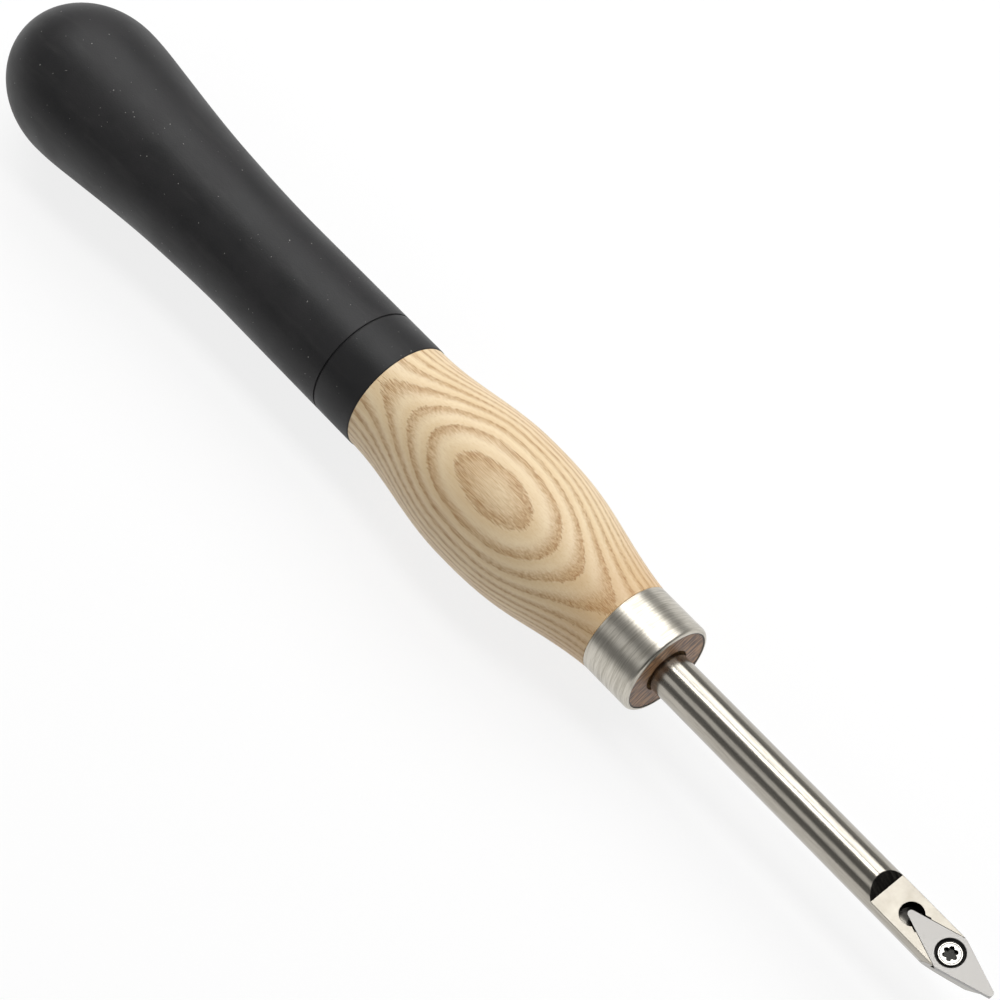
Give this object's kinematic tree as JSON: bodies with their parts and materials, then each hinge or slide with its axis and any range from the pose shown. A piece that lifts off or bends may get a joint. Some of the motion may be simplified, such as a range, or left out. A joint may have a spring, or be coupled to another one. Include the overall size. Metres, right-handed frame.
{
  "type": "carbide turning tool",
  "caption": "Hand-held woodturning tool: round steel bar with a screwed-on diamond carbide cutter, ferrule, ash handle and moulded rubber grip.",
  "frame": {"origin": "on the tool's axis, at the shoulder where the full round bar starts, 0.3 mm ahead of the ferrule's face", "axes": "+X along the axis towards the cutter, +Z out of the cutter's top face, +Y to the left seen from the handle"},
  "size_m": [0.3221, 0.038, 0.038],
  "materials": {
    "grip_rubber": "matt moulded rubber",
    "ash_wood": "turned ash, clear satin finish",
    "ferrule_steel": "brushed round its circumference",
    "bond_resin": "cured clear resin",
    "bar_steel": "ground and polished bar, milled flat",
    "carbide": "lapped satin carbide",
    "screw_steel": "bright plated"
  },
  "bodies": {
    "root": {"rubber_grip": "grip_rubber", "wood_handle": "ash_wood", "ferrule": "ferrule_steel", "bar_bond": "bond_resin", "tool_bar": "bar_steel"},
    "insert": {"carbide_insert": "carbide"},
    "screw": {"insert_screw": "screw_steel"}
  },
  "joints": [
    {"name": "insert_lift", "type": "slide", "parent": "root", "child": "insert", "axis": [0, 0, 1], "range_m": [0, 0.005]},
    {"name": "screw_turn", "type": "hinge", "parent": "insert", "child": "screw", "pos_m": [0.0852, 0, 0], "axis": [0, 0, 1], "range_deg": [0, 3600]}
  ],
  "couplings": [
    {"joint": "screw_turn", "follows": "insert_lift", "rad_per_m": 12566}
  ]
}
